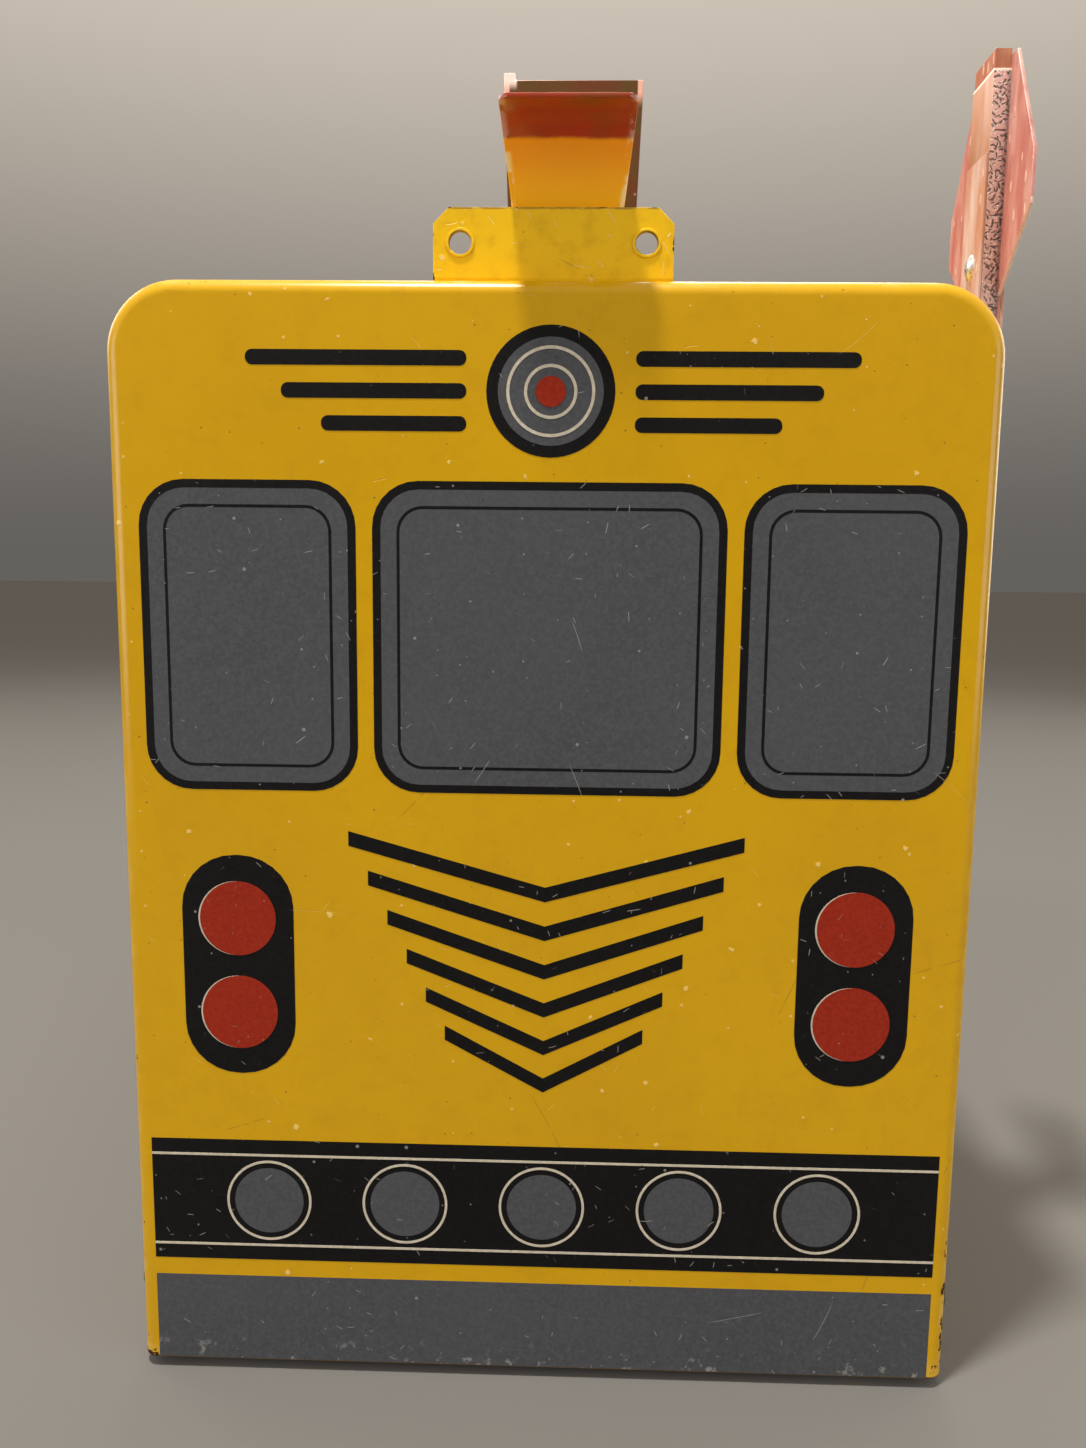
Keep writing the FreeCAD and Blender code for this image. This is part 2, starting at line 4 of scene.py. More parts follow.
import bmesh
import bpy
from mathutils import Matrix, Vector


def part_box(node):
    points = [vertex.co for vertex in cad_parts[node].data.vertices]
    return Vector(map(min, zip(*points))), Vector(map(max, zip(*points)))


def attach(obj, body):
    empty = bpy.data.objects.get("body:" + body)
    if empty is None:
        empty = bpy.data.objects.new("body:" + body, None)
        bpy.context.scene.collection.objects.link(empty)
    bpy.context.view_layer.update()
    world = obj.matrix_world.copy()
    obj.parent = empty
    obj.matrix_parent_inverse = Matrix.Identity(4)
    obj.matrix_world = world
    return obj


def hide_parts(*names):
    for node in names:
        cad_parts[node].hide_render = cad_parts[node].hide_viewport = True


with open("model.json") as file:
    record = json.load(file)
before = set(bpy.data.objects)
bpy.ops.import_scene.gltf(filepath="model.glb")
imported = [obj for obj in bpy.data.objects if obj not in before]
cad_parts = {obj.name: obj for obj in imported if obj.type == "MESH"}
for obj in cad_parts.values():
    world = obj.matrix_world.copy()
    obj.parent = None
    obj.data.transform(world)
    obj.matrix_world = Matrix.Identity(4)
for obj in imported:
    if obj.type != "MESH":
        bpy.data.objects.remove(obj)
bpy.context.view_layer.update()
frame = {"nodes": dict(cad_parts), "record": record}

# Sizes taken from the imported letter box, in metres
mm = 0.001
door_low, door_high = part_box("door_panel")
shell_low, shell_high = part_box("body_shell")
_, rear_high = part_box("rear_panel")
tab_low, tab_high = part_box("keeper_tab")
pull_low, pull_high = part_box("pull_tongue")
arm_low, arm_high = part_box("flag_arm")
_, strap_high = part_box("flag_inner_strap")
catch_low, catch_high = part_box("catch_plate")
mounts = {mount["name"]: mount for mount in frame["record"]["mounts"]}
keeper_holes = mounts["keeper_holes"]
ground = shell_low.z
door_face = door_low.y
door_half = door_high.x
shell_half = shell_high.x
shell_middle = (shell_low.z + shell_high.z) / 2
hole_radius = keeper_holes["dims"]["hole_r_mm"] * mm
hole_reach = keeper_holes["dims"]["spacing_x_mm"] / 2 * mm
hole_height = keeper_holes["pos_m"][2]
pull_middle = (pull_low.x + pull_high.x) / 2
pull_half = (pull_high.x - pull_low.x) / 2
pull_base_half = 12.4 * mm
pull_flare = 20 * mm
pull_red_low, pull_red_high = 5.0 * mm, 4.2 * mm
wrap_top = arm_high.z - 4.8 * mm
wrap_bottom = arm_low.z + 28 * mm
wrap_fold = strap_high.z + 0.2 * mm
wrap_thickness = 0.3 * mm
catch_middle = (catch_low.x + catch_high.x) / 2
catch_half = (catch_high.x - catch_low.x) / 2

# Printed films, in metres: how far each colour stands off the sheet
film_sink = 0.02 * mm
grey_film = 0.04 * mm
black_film = 0.06 * mm
pale_film = 0.07 * mm
red_film = 0.085 * mm

# The raised rims of the tab's holes, in metres
burr_width = 0.7 * mm
burr_overlap = 0.05 * mm
burr_height = 0.32 * mm
burr_unevenness = 0.09 * mm

# Paint colours, some of them painted light or shade, as linear red, green, blue and alpha
yellow = (0.605, 0.342, 0.002, 1)
yellow_deep = (0.485, 0.258, 0.003, 1)
yellow_pale = (0.88, 0.62, 0.20, 1)
# The tab's yellow is the door's yellow painted lighter: painted light for the stronger light from above
# that the tab catches.
tab_yellow_lit = (0.83, 0.515, 0.005, 1)
# Dark brown, for dirt, dark hairlines and pits, and for painted shade in the tab's bores and at its root.
grime_and_shade = (0.10, 0.055, 0.018, 1)
bare_steel = (0.045, 0.022, 0.010, 1)
film_grey = (0.069, 0.072, 0.081, 1)
film_black = (0.0035, 0.0035, 0.004, 1)
film_red = (0.28, 0.020, 0.007, 1)
film_pale = (0.52, 0.47, 0.38, 1)
scratch_pale = (0.40, 0.39, 0.37, 1)
zinc_light = (0.42, 0.43, 0.44, 1)
zinc_dark = (0.27, 0.28, 0.29, 1)
# The pull's own amber paint, made as light as a colour can be as painted light for the light reflected onto
# it from the yellow below.
amber = (1.0, 0.46, 0.006, 1)
amber_shaded = (1.0, 0.37, 0.004, 1)
pull_red = (0.43, 0.042, 0.018, 1)
pull_brown = (0.29, 0.062, 0.020, 1)
# The catch's red enamel as it looks in shade and in light: a dark brown painted shade and a pink painted
# highlight.
catch_brown_shade = (0.105, 0.058, 0.018, 1)
catch_pink_highlight = (0.80, 0.47, 0.38, 1)
sign_red = (0.42, 0.118, 0.093, 1)
sign_faded = (0.61, 0.342, 0.310, 1)
arm_red = (0.37, 0.092, 0.038, 1)
arm_faded = (0.48, 0.215, 0.120, 1)
strap_faded = (0.62, 0.48, 0.455, 1)
# Pale for the flag's scratches, grit, runs and pale flecks, and for painted highlight along its rounded
# edges.
pale_marks_and_highlight = (0.92, 0.74, 0.63, 1)
# Painted highlight on the top of the catch's lug.
lug_highlight = (0.94, 0.80, 0.74, 1)
amber_wear_and_sheen = (1.0, 0.82, 0.36, 1)
flag_dark = (0.16, 0.028, 0.016, 1)
arm_primer = (0.54, 0.33, 0.295, 1)
fleck_black = (0.022, 0.014, 0.015, 1)
rivet_light = (0.78, 0.76, 0.73, 1)
rivet_dark = (0.34, 0.32, 0.30, 1)
hinge_light = (0.17, 0.13, 0.09, 1)
hinge_dark = (0.05, 0.035, 0.025, 1)
washer_light = (0.45, 0.45, 0.45, 1)
washer_dark = (0.22, 0.21, 0.20, 1)
floor_pale = (0.155, 0.152, 0.147, 1)
room_low = (0.128, 0.121, 0.111, 1)
room_high = (0.84, 0.74, 0.63, 1)

# How much gloss the yellow enamel has and how far it spreads, and how deep its marks go in metres
enamel_gloss, enamel_spread = 0.6, 0.24
mark_depth = 0.10 * mm

# Lamps: colours, and name, place in metres, size in metres, power in watts and colour of each
lamp_warm = (1.0, 0.95, 0.87)
lamp_plain = (1.0, 0.98, 0.95)
lamps = (
    ("key_above", (-0.14, -0.43, 1.33), 0.10, 20.5, lamp_warm),
    ("fill_left", (-1.5, -1.15, 0.22), 1.2, 15.5, lamp_plain),
    ("fill_right", (1.5, -1.15, 0.22), 1.2, 13, lamp_plain),
    ("rim_above", (0.12, 0.85, 1.38), 0.9, 12, lamp_warm),
    ("kick_left", (-1.4, 0.62, 0.95), 1.0, 8, lamp_warm),
    ("kick_right", (1.4, 0.62, 0.5), 1.0, 8, lamp_warm),
)
lamp_target = (0, door_face, 0.15)

# The camera: its place in metres, its turn in degrees, and its lens and sensor in millimetres
camera_place = (5.72 * mm, -506.53 * mm, 176.54 * mm)
camera_turn = (82.30, -0.63, 1.58)
camera_lens, camera_sensor = 27.28, 36


class Value:
    """One socket of a shader, so that shader maths reads as ordinary sums."""

    def __init__(self, socket):
        self.socket = socket

    def node(self, kind, settings=None, sockets=None, out=0):
        """Adds a node beside this socket and gives one of its outputs."""
        made = self.socket.id_data.nodes.new(kind)
        for name, setting in (settings or {}).items():
            setattr(made, name, setting)
        for name, value in (sockets or {}).items():
            feed(made.inputs[name], value)
        return Value(made.outputs[out])

    def out(self, name):
        return Value(self.socket.node.outputs[name])

    def maths(self, operation, *terms):
        return self.node("ShaderNodeMath", {"operation": operation}, dict(enumerate(terms)))

    def vector(self, operation, *terms):
        return self.node("ShaderNodeVectorMath", {"operation": operation}, dict(enumerate(terms)))

    def __add__(self, other):
        return self.maths("ADD", self, other)

    def __radd__(self, other):
        return self.maths("ADD", other, self)

    def __sub__(self, other):
        return self.maths("SUBTRACT", self, other)

    def __rsub__(self, other):
        return self.maths("SUBTRACT", other, self)

    def __mul__(self, other):
        return self.maths("MULTIPLY", self, other)

    def __rmul__(self, other):
        return self.maths("MULTIPLY", other, self)

    def __truediv__(self, other):
        return self.maths("DIVIDE", self, other)

    def __rtruediv__(self, other):
        return self.maths("DIVIDE", other, self)

    def __gt__(self, other):
        return self.maths("GREATER_THAN", self, other)

    def __lt__(self, other):
        return self.maths("LESS_THAN", self, other)

    def __abs__(self):
        return self.maths("ABSOLUTE", self)


def feed(socket, value):
    if isinstance(value, Value):
        socket.id_data.links.new(value.socket, socket)
    else:
        socket.default_value = value


def rise(value, low, high):
    """Goes smoothly from 0 to 1 while value goes from low to high."""
    sockets = {"Value": value, "From Min": low, "From Max": high}
    return value.node("ShaderNodeMapRange", {"interpolation_type": "SMOOTHSTEP"}, sockets)


def larger(a, b):
    return a.maths("MAXIMUM", a, b)


def layer(share, under, over):
    """Colour over laid on colour under, where share is 1."""
    return share.node("ShaderNodeMix", {"data_type": "RGBA"}, {0: share, 6: under, 7: over}, out=2)


def parts(vector):
    split = vector.node("ShaderNodeSeparateXYZ", sockets={0: vector})
    return split.out("X"), split.out("Y"), split.out("Z")


def cloud(point, size, detail=2.0, roughness=0.5):
    """Soft noise from 0 to 1, whose lumps are about size metres across."""
    sockets = {"Vector": point, "Scale": 1 / size, "Detail": detail, "Roughness": roughness}
    return point.node("ShaderNodeTexNoise", sockets=sockets)


def clouds(point, size):
    """Three soft noises at once, as a colour."""
    return point.node("ShaderNodeTexNoise", sockets={"Vector": point, "Scale": 1 / size}, out="Color")


def stretched(point, along):
    """The same place, drawn out so that a pattern read there is long in some directions."""
    return point.vector("MULTIPLY", point, along)


def flat_place(point, normal):
    """The place on the sheet as across and up, whichever way the sheet faces."""
    x, y, z = parts(point)
    facing_x, _, facing_z = parts(normal)
    on_side = rise(abs(facing_x), 0.69, 0.71)
    on_roof = rise(abs(facing_z), 0.69, 0.71)
    across = x + (y - x) * on_side
    up = z + (y - z) * on_roof
    return across.node("ShaderNodeCombineXYZ", sockets={0: across, 1: up})


def random_mosaic(flat, cell, across, up):
    """A mosaic of random cells about cell metres wide, and the place read in it."""
    spread = flat.vector("MULTIPLY_ADD", flat, (1 / cell, 1 / cell, 0), (across, up, 0))
    settings = {"voronoi_dimensions": "2D"}
    return spread, spread.node("ShaderNodeTexVoronoi", settings, {"Vector": spread, "Scale": 1.0})


def hairlines(flat, cell, length, width, share, start):
    """Short slightly bowed scratches, one at most in each cell of a random mosaic."""
    spread, mosaic = random_mosaic(flat, cell, start, start * 1.7)
    offset_x, offset_y, _ = parts(spread.vector("SUBTRACT", spread, mosaic.out("Position")))
    turn, chance, reach = parts(mosaic.out("Color"))
    angle = turn * (2 * math.pi)
    cosine = angle.maths("COSINE", angle)
    sine = angle.maths("SINE", angle)
    along = offset_x * cosine + offset_y * sine
    beside = offset_y * cosine - offset_x * sine + along * along * (turn - 0.5)
    half_length = (0.3 + 0.7 * reach) * (length / cell / 2)
    thin = 1 - rise(abs(beside), width / cell / 4, width / cell / 2)
    ends = 1 - rise(abs(along) / half_length, 0.6, 1.0)
    return thin * ends * (chance < share)


def specks(flat, cell, radius, share, start):
    """Scattered round spots, one at most in each cell of a random mosaic."""
    _, mosaic = random_mosaic(flat, cell, start, start * 1.3)
    chance, reach, _ = parts(mosaic.out("Color"))
    limit = (0.35 + 0.65 * reach) * (radius / cell)
    spot = 1 - rise(mosaic.out("Distance") / limit, 0.75, 1.0)
    return spot * (chance < share)


def new_finish(name):
    """A material's shader node, with the place and the direction of the surface."""
    material = bpy.data.materials.new(name)
    material.use_nodes = True
    nodes = material.node_tree.nodes
    shader = nodes["Principled BSDF"]
    coordinates = nodes.new("ShaderNodeTexCoord")
    point = Value(coordinates.outputs["Object"])
    normal = Value(coordinates.outputs["Normal"])
    return material, shader.inputs, point, normal


def bumped(height, depth):
    return height.node("ShaderNodeBump", sockets={"Strength": 1.0, "Distance": depth, "Height": height})


def enamel_marks(point, normal):
    """Marks that cross enamel and print alike: pale scratches, raised grit and dark pits."""
    flat = flat_place(point, normal)
    long_scratches = hairlines(flat, 34 * mm, 18 * mm, 0.16 * mm, 0.12, 3.1)
    short_scratches = hairlines(flat, 10 * mm, 4 * mm, 0.22 * mm, 0.10, 8.4)
    scratches = larger(long_scratches, short_scratches)
    grit = specks(flat, 13 * mm, 0.5 * mm, 0.35, 1.7)
    pits = specks(flat, 8 * mm, 0.27 * mm, 0.35, 5.2)
    return scratches, grit, pits


def zinc_spangle(point):
    """Crystals of zinc: their colour, and each one's tone."""
    sockets = {"Vector": point, "Scale": 1 / (7 * mm)}
    tone, _, _ = parts(point.node("ShaderNodeTexVoronoi", sockets=sockets, out="Color"))
    return layer(tone, zinc_dark, zinc_light), tone


def enamel_coat(point, normal, base, edges, wear):
    """Yellow enamel: its colour, its roughness, its height and where it is chipped off."""
    scratches, grit, pits = enamel_marks(point, normal)
    flat = flat_place(point, normal)
    broken = cloud(point, 2.5 * mm, 3.0, 0.6)
    hairs = hairlines(flat, 42 * mm, 34 * mm, 0.2 * mm, 0.3, 21.3) * rise(broken, 0.40, 0.52)
    sway = stretched(clouds(point, 1.1 * mm), (1.6 * mm, 1.6 * mm, 0))
    ragged = flat.vector("ADD", flat, sway)
    scars = specks(ragged, 19 * mm, 0.8 * mm, 0.55, 13.7)
    patches = cloud(point, 55 * mm, 3.0)
    rub = cloud(point, 9 * mm, 4.0, 0.6)
    paint = layer(rise(patches, 0.35, 0.75) * 0.35, base, yellow_deep)
    paint = layer(rise(cloud(point, 5 * mm, 5.0, 0.65), 0.45, 0.75) * 0.35, paint, yellow_deep)
    paint = layer(edges * rise(rub, 0.45, 0.7) * 0.35, paint, yellow_pale)
    spots = larger(grit * 0.5, scars * 0.68)
    paint = layer(larger(spots, scratches * wear), paint, yellow_pale)
    paint = layer(larger(pits * 0.7, hairs * 0.55), paint, grime_and_shade)
    chips = rise(cloud(point, 2.6 * mm, 4.0, 0.65) + edges * 0.24, 0.80, 0.82)
    paint = layer(chips, paint, bare_steel)
    shine = 0.30 + 0.10 * patches + 0.12 * scratches + 0.35 * chips
    skin = cloud(point, 1.6 * mm, 1.0)
    height = 0.10 * skin + 0.8 * larger(grit, scars) - 0.5 * scratches - 0.9 * chips - 0.3 * pits
    return paint, shine, height, chips


def gloss(sockets, weight, spread):
    """A clear gloss over paint that is itself dull."""
    feed(sockets["Coat Weight"], weight)
    sockets["Coat Roughness"].default_value = spread
    sockets["Specular IOR Level"].default_value = 0.05


def yellow_enamel(name, edge_share, back_share):
    """Glossy yellow enamel on sheet steel, with chips at its edges, a painted contact shadow along its foot
    and bare zinc on its back.
    """
    material, sockets, point, normal = new_finish(name)
    paint, shine, height, chips = enamel_coat(point, normal, yellow, edge_share(point, normal), 0.32)
    back = back_share(point, normal)
    zinc_paint, _ = zinc_spangle(point)
    _, _, z = parts(point)
    # Dark below just above the door's lower edge: a painted contact shadow where the box meets the floor.
    foot_shadow = rise(z, door_low.z + 0.7 * mm, door_low.z + 0.3 * mm)
    paint = layer(foot_shadow * 0.85, paint, bare_steel)
    feed(sockets["Base Color"], layer(back, paint, zinc_paint))
    feed(sockets["Roughness"], shine + (0.48 - shine) * back)
    feed(sockets["Metallic"], 0.85 * back)
    gloss(sockets, enamel_gloss * (1 - back) * (1 - chips), enamel_spread)
    feed(sockets["Normal"], bumped(height, mark_depth))
    return material


def hole_distance(point):
    """How far a place on the tab is from the rim of the nearer hole."""
    x, _, z = parts(point)
    across = abs(x) - hole_reach
    up = z - hole_height
    square = across * across + up * up
    return square.maths("SQRT", square) - hole_radius


def tab_enamel(name):
    """The tab's yellow enamel, lighter than the door's as painted light for the stronger light the tab
    catches, more scratched than the rest, with painted shade in its bores and at its root and a thin dark
    line along its top.
    """
    material, sockets, point, normal = new_finish(name)
    _, _, z = parts(point)
    paint, shine, height, chips = enamel_coat(point, normal, tab_yellow_lit, tab_edges(point), 0.6)
    flat = flat_place(point, normal)
    crowd = rise(cloud(point, 9 * mm, 2.0), 0.40, 0.52)
    nicks = hairlines(flat, 5 * mm, 4.5 * mm, 0.28 * mm, 0.4, 31.7) * crowd
    paint = layer(nicks * 0.9, paint, yellow_pale)
    smear = cloud(stretched(point, (0.35, 1.0, 1.0)), 2.2 * mm, 4.0, 0.65)
    # Darker at its root and along its top edge: painted shade in the crease where the tab meets the door,
    # and a thin dark line at the top.
    root = rise(z, door_high.z + 1.0 * mm, door_high.z + 0.1 * mm)
    top = rise(z, tab_high.z - 0.7 * mm, tab_high.z - 0.3 * mm)
    root_shade_and_top_line = larger(root, top) * rise(smear, 0.40, 0.56)
    # Dark in and round the hole bores: bare cut metal, with painted shade where the bores lie in shadow.
    bore_shade = rise(hole_distance(point), 0.22 * mm, 0.10 * mm)
    paint = layer(larger(root_shade_and_top_line * 0.65, bore_shade * 0.8), paint, grime_and_shade)
    feed(sockets["Base Color"], paint)
    feed(sockets["Roughness"], shine + 0.1 * root_shade_and_top_line)
    gloss(sockets, enamel_gloss * (1 - chips), enamel_spread)
    feed(sockets["Normal"], bumped(height - 0.5 * nicks, mark_depth))
    return material


def fold_share(point, normal):
    """Where a sheet turns a corner, halfway between two of its flat sides."""
    facing_x, facing_y, facing_z = parts(normal)
    flattest = larger(larger(abs(facing_x), abs(facing_y)), abs(facing_z))
    return 1 - rise(flattest, 0.72, 0.995)


def door_edges(point, normal):
    x, _, z = parts(point)
    facing_x, _, _ = parts(normal)
    low = rise(z, door_low.z + 12 * mm, door_low.z + 1 * mm)
    right_side = rise(facing_x, 0.3, 0.7) * rise(z, ground + 62 * mm, ground + 44 * mm)
    corners = low * rise(abs(x), door_half - 8 * mm, door_half - 3 * mm)
    return larger(fold_share(point, normal) * 0.5, larger(right_side, corners))


def door_back(point, normal):
    _, facing_y, _ = parts(normal)
    return rise(facing_y, 0.5, 0.7)


def shell_back(point, normal):
    x, _, z = parts(point)
    facing_x, _, facing_z = parts(normal)
    outwards = facing_x * x + facing_z * (z - shell_middle)
    return rise(outwards, 0.0, -0.002)


def shell_edges(point, normal):
    _, y, z = parts(point)
    low = rise(z, ground + 7 * mm, ground + 1 * mm)
    front = rise(y, shell_low.y + 5 * mm, shell_low.y)
    return larger(low, larger(front, fold_share(point, normal) * 0.3))


def rear_back(point, normal):
    _, facing_y, _ = parts(normal)
    return rise(facing_y, -0.5, -0.7)


def tab_edges(point):
    x, _, z = parts(point)
    side = rise(abs(x), tab_high.x - 0.8 * mm, tab_high.x)
    top = rise(z, tab_high.z - 0.8 * mm, tab_high.z)
    rim = rise(hole_distance(point), 0.6 * mm, 0.2 * mm) * 0.6
    return larger(larger(side, top), rim)


def printed_film(name, colour, shine, mark_share, mark_count):
    """Satin printing colour with fine mottling, pale scratches and rubbed places."""
    material, sockets, point, normal = new_finish(name)
    scratches, grit, pits = enamel_marks(point, normal)
    edges = print_edges(point)
    flat = flat_place(point, normal)
    fine = cloud(point, 0.9 * mm, 2.0, 0.6)
    drift = cloud(point, 40 * mm, 2.0)
    lighter = tuple(c * 1.16 + 0.002 for c in colour[:3]) + (1,)
    darker = tuple(c * 0.86 for c in colour[:3]) + (1,)
    paint = layer(rise(fine, 0.25, 0.8), darker, lighter)
    paint = layer(rise(drift, 0.3, 0.8) * 0.35, paint, lighter)
    crowd = rise(cloud(point, 28 * mm, 2.0), 0.44, 0.58)
    nicks = hairlines(flat, 5 * mm, 2.4 * mm, 0.19 * mm, mark_count, 14.6) * crowd
    dust = specks(flat, 7 * mm, 0.26 * mm, mark_count, 9.9)
    marks = larger(larger(scratches, nicks) * 0.8, larger(grit * 0.6, dust * 0.5))
    paint = layer(marks * mark_share, paint, scratch_pale)
    paint = layer(pits * 0.6, paint, bare_steel)
    scuffs = edges * rise(cloud(point, 4 * mm, 5.0, 0.7), 0.58, 0.66)
    paint = layer(scuffs * 0.5, paint, scratch_pale)
    feed(sockets["Base Color"], paint)
    feed(sockets["Roughness"], shine + 0.12 * fine + 0.1 * marks)
    sockets["Specular IOR Level"].default_value = 0.16
    feed(sockets["Normal"], bumped(0.25 * fine + 0.6 * grit - 0.4 * scratches, 0.06 * mm))
    return material


def print_edges(point):
    _, _, z = parts(point)
    return rise(z, door_low.z + 9 * mm, door_low.z)


def galvanised_sheet(name):
    """Dull zinc with spangles."""
    material, sockets, point, _ = new_finish(name)
    paint, tone = zinc_spangle(point)
    stain = cloud(point, 30 * mm, 4.0)
    paint = layer(rise(stain, 0.5, 0.8) * 0.4, paint, grime_and_shade)
    feed(sockets["Base Color"], paint)
    sockets["Metallic"].default_value = 0.85
    feed(sockets["Roughness"], 0.40 + 0.15 * tone + 0.2 * rise(stain, 0.5, 0.8))
    feed(sockets["Normal"], bumped(cloud(point, 2 * mm, 2.0), 0.05 * mm))
    return material


def turned_metal(name, light, dark, shine):
    """Bare fastener metal with dull patches and fine nicks."""
    material, sockets, point, _ = new_finish(name)
    tarnish = cloud(point, 1.5 * mm, 4.0, 0.6)
    paint = layer(rise(tarnish, 0.42, 0.72), light, dark)
    feed(sockets["Base Color"], paint)
    sockets["Metallic"].default_value = 0.95
    feed(sockets["Roughness"], shine + 0.25 * tarnish)
    feed(sockets["Normal"], bumped(cloud(point, 0.5 * mm, 2.0), 0.03 * mm))
    return material


def pull_enamel(name):
    """The pull: amber enamel below, painted darker towards the lip as painted shade, dark red sprayed over
    it at the lip, and paler along its edges, partly rubbed wear and partly painted highlight.
    """
    material, sockets, point, normal = new_finish(name)
    x, _, z = parts(point)
    scratches, grit, pits = enamel_marks(point, normal)
    waver = cloud(point, 6 * mm, 3.0)
    red = rise(z + (waver - 0.5) * (1.0 * mm), pull_high.z - pull_red_low, pull_high.z - pull_red_high)
    # Darker towards the lip: painted shade under the lip's overhang.
    low = rise(z, pull_high.z - 5 * mm, pull_high.z - 15 * mm)
    paint = layer(low, amber_shaded, amber)
    red_paint = layer(rise(cloud(point, 9 * mm, 3.0), 0.35, 0.7), pull_red, pull_brown)
    paint = layer(red, paint, red_paint)
    spread = (z - (pull_high.z - pull_flare)) * ((pull_half - pull_base_half) / pull_flare)
    half = pull_base_half + spread.maths("MAXIMUM", spread, 0.0)
    # Paler along the side edges: partly rubbed wear and partly painted highlight where the edges catch the
    # light.
    rubbed = rise(abs(x - pull_middle) / half, 0.88, 0.97) * rise(cloud(point, 4 * mm, 3.0), 0.42, 0.52)
    pale = layer(red, amber_wear_and_sheen, sign_faded)
    paint = layer(larger(rubbed * 0.8, larger(scratches, grit) * 0.35), paint, pale)
    paint = layer(pits * 0.5, paint, bare_steel)
    feed(sockets["Base Color"], paint)
    feed(sockets["Roughness"], 0.28 + 0.10 * waver)
    gloss(sockets, 0.6, 0.16)
    feed(sockets["Normal"], bumped(0.3 * cloud(point, 2 * mm, 2.0) + 0.6 * grit, mark_depth))
    return material


def catch_enamel(name):
    """The catch: red enamel painted dark brown as painted shade, with pink painted highlight along its
    upper edges and side tops and a pale painted highlight on the lug at its left end.
    """
    material, sockets, point, normal = new_finish(name)
    x, _, z = parts(point)
    scratches, grit, pits = enamel_marks(point, normal)
    rub = cloud(point, 8 * mm, 5.0, 0.6)
    paint = layer(rise(rub, 0.4, 0.7) * 0.6, catch_brown_shade, flag_dark)
    # Pink at the tops of its sides and along its upper rounded edges: painted highlight where these catch
    # the light.
    side = rise(abs(x - catch_middle), catch_half - 1.6 * mm, catch_half - 1.2 * mm)
    top_side_highlight = side * rise(z, catch_high.z - 8 * mm, catch_high.z - 4 * mm)
    edge = fold_share(point, normal) * rise(z, catch_high.z - 20 * mm, catch_high.z - 4 * mm)
    paint = layer(larger(top_side_highlight, edge * rise(rub, 0.3, 0.5)), paint, catch_pink_highlight)
    # The lug at its left end, palest at its top: painted highlight from the lamp above.
    left_end = rise(x, catch_low.x + 3.4 * mm, catch_low.x + 2.8 * mm)
    lug = left_end * rise(z, catch_high.z - 4.2 * mm, catch_high.z - 1.8 * mm)
    paint = layer(lug, paint, lug_highlight)
    paint = layer(larger(scratches, grit) * 0.4, paint, sign_faded)
    paint = layer(pits * 0.7, paint, bare_steel)
    feed(sockets["Base Color"], paint)
    feed(sockets["Roughness"], 0.36 + 0.2 * rub)
    gloss(sockets, 0.3, 0.20)
    feed(sockets["Normal"], bumped(0.3 * cloud(point, 2 * mm, 2.0) + 0.5 * grit, mark_depth))
    return material


def flag_enamel(name, base, faded):
    """Sun-faded red enamel with streaks down its length, pale painted highlight along its rounded edges,
    runs of paint and dark nicks.
    """
    material, sockets, point, normal = new_finish(name)
    scratches, grit, pits = enamel_marks(point, normal)
    streak = cloud(stretched(point, (1.0, 1.0, 0.22)), 5 * mm, 4.0, 0.6)
    bloom = cloud(point, 22 * mm, 3.0)
    runs = specks(stretched(flat_place(point, normal), (1.0, 0.4, 1.0)), 3.2 * mm, 0.7 * mm, 0.40, 2.9)
    paint = layer(rise(streak, 0.3, 0.75), base, faded)
    paint = layer(rise(bloom, 0.45, 0.8) * 0.4, paint, base)
    nicks = rise(cloud(stretched(point, (1.0, 1.0, 0.5)), 1.6 * mm, 3.0, 0.6), 0.70, 0.74)
    # Paler along the rounded edges: painted highlight where the edges catch the light.
    rim = fold_share(point, normal) * rise(cloud(point, 4 * mm, 3.0), 0.3, 0.5)
    paint = layer(larger(rim * 0.75, larger(larger(scratches, grit), runs) * 0.4), paint, pale_marks_and_highlight)
    paint = layer(larger(nicks * 0.75, pits * 0.8), paint, flag_dark)
    feed(sockets["Base Color"], paint)
    feed(sockets["Roughness"], 0.42 + 0.2 * streak)
    sockets["Coat Weight"].default_value = 0.1
    feed(sockets["Normal"], bumped(0.4 * streak + 0.9 * runs + 0.5 * grit - 0.6 * nicks, 0.12 * mm))
    return material


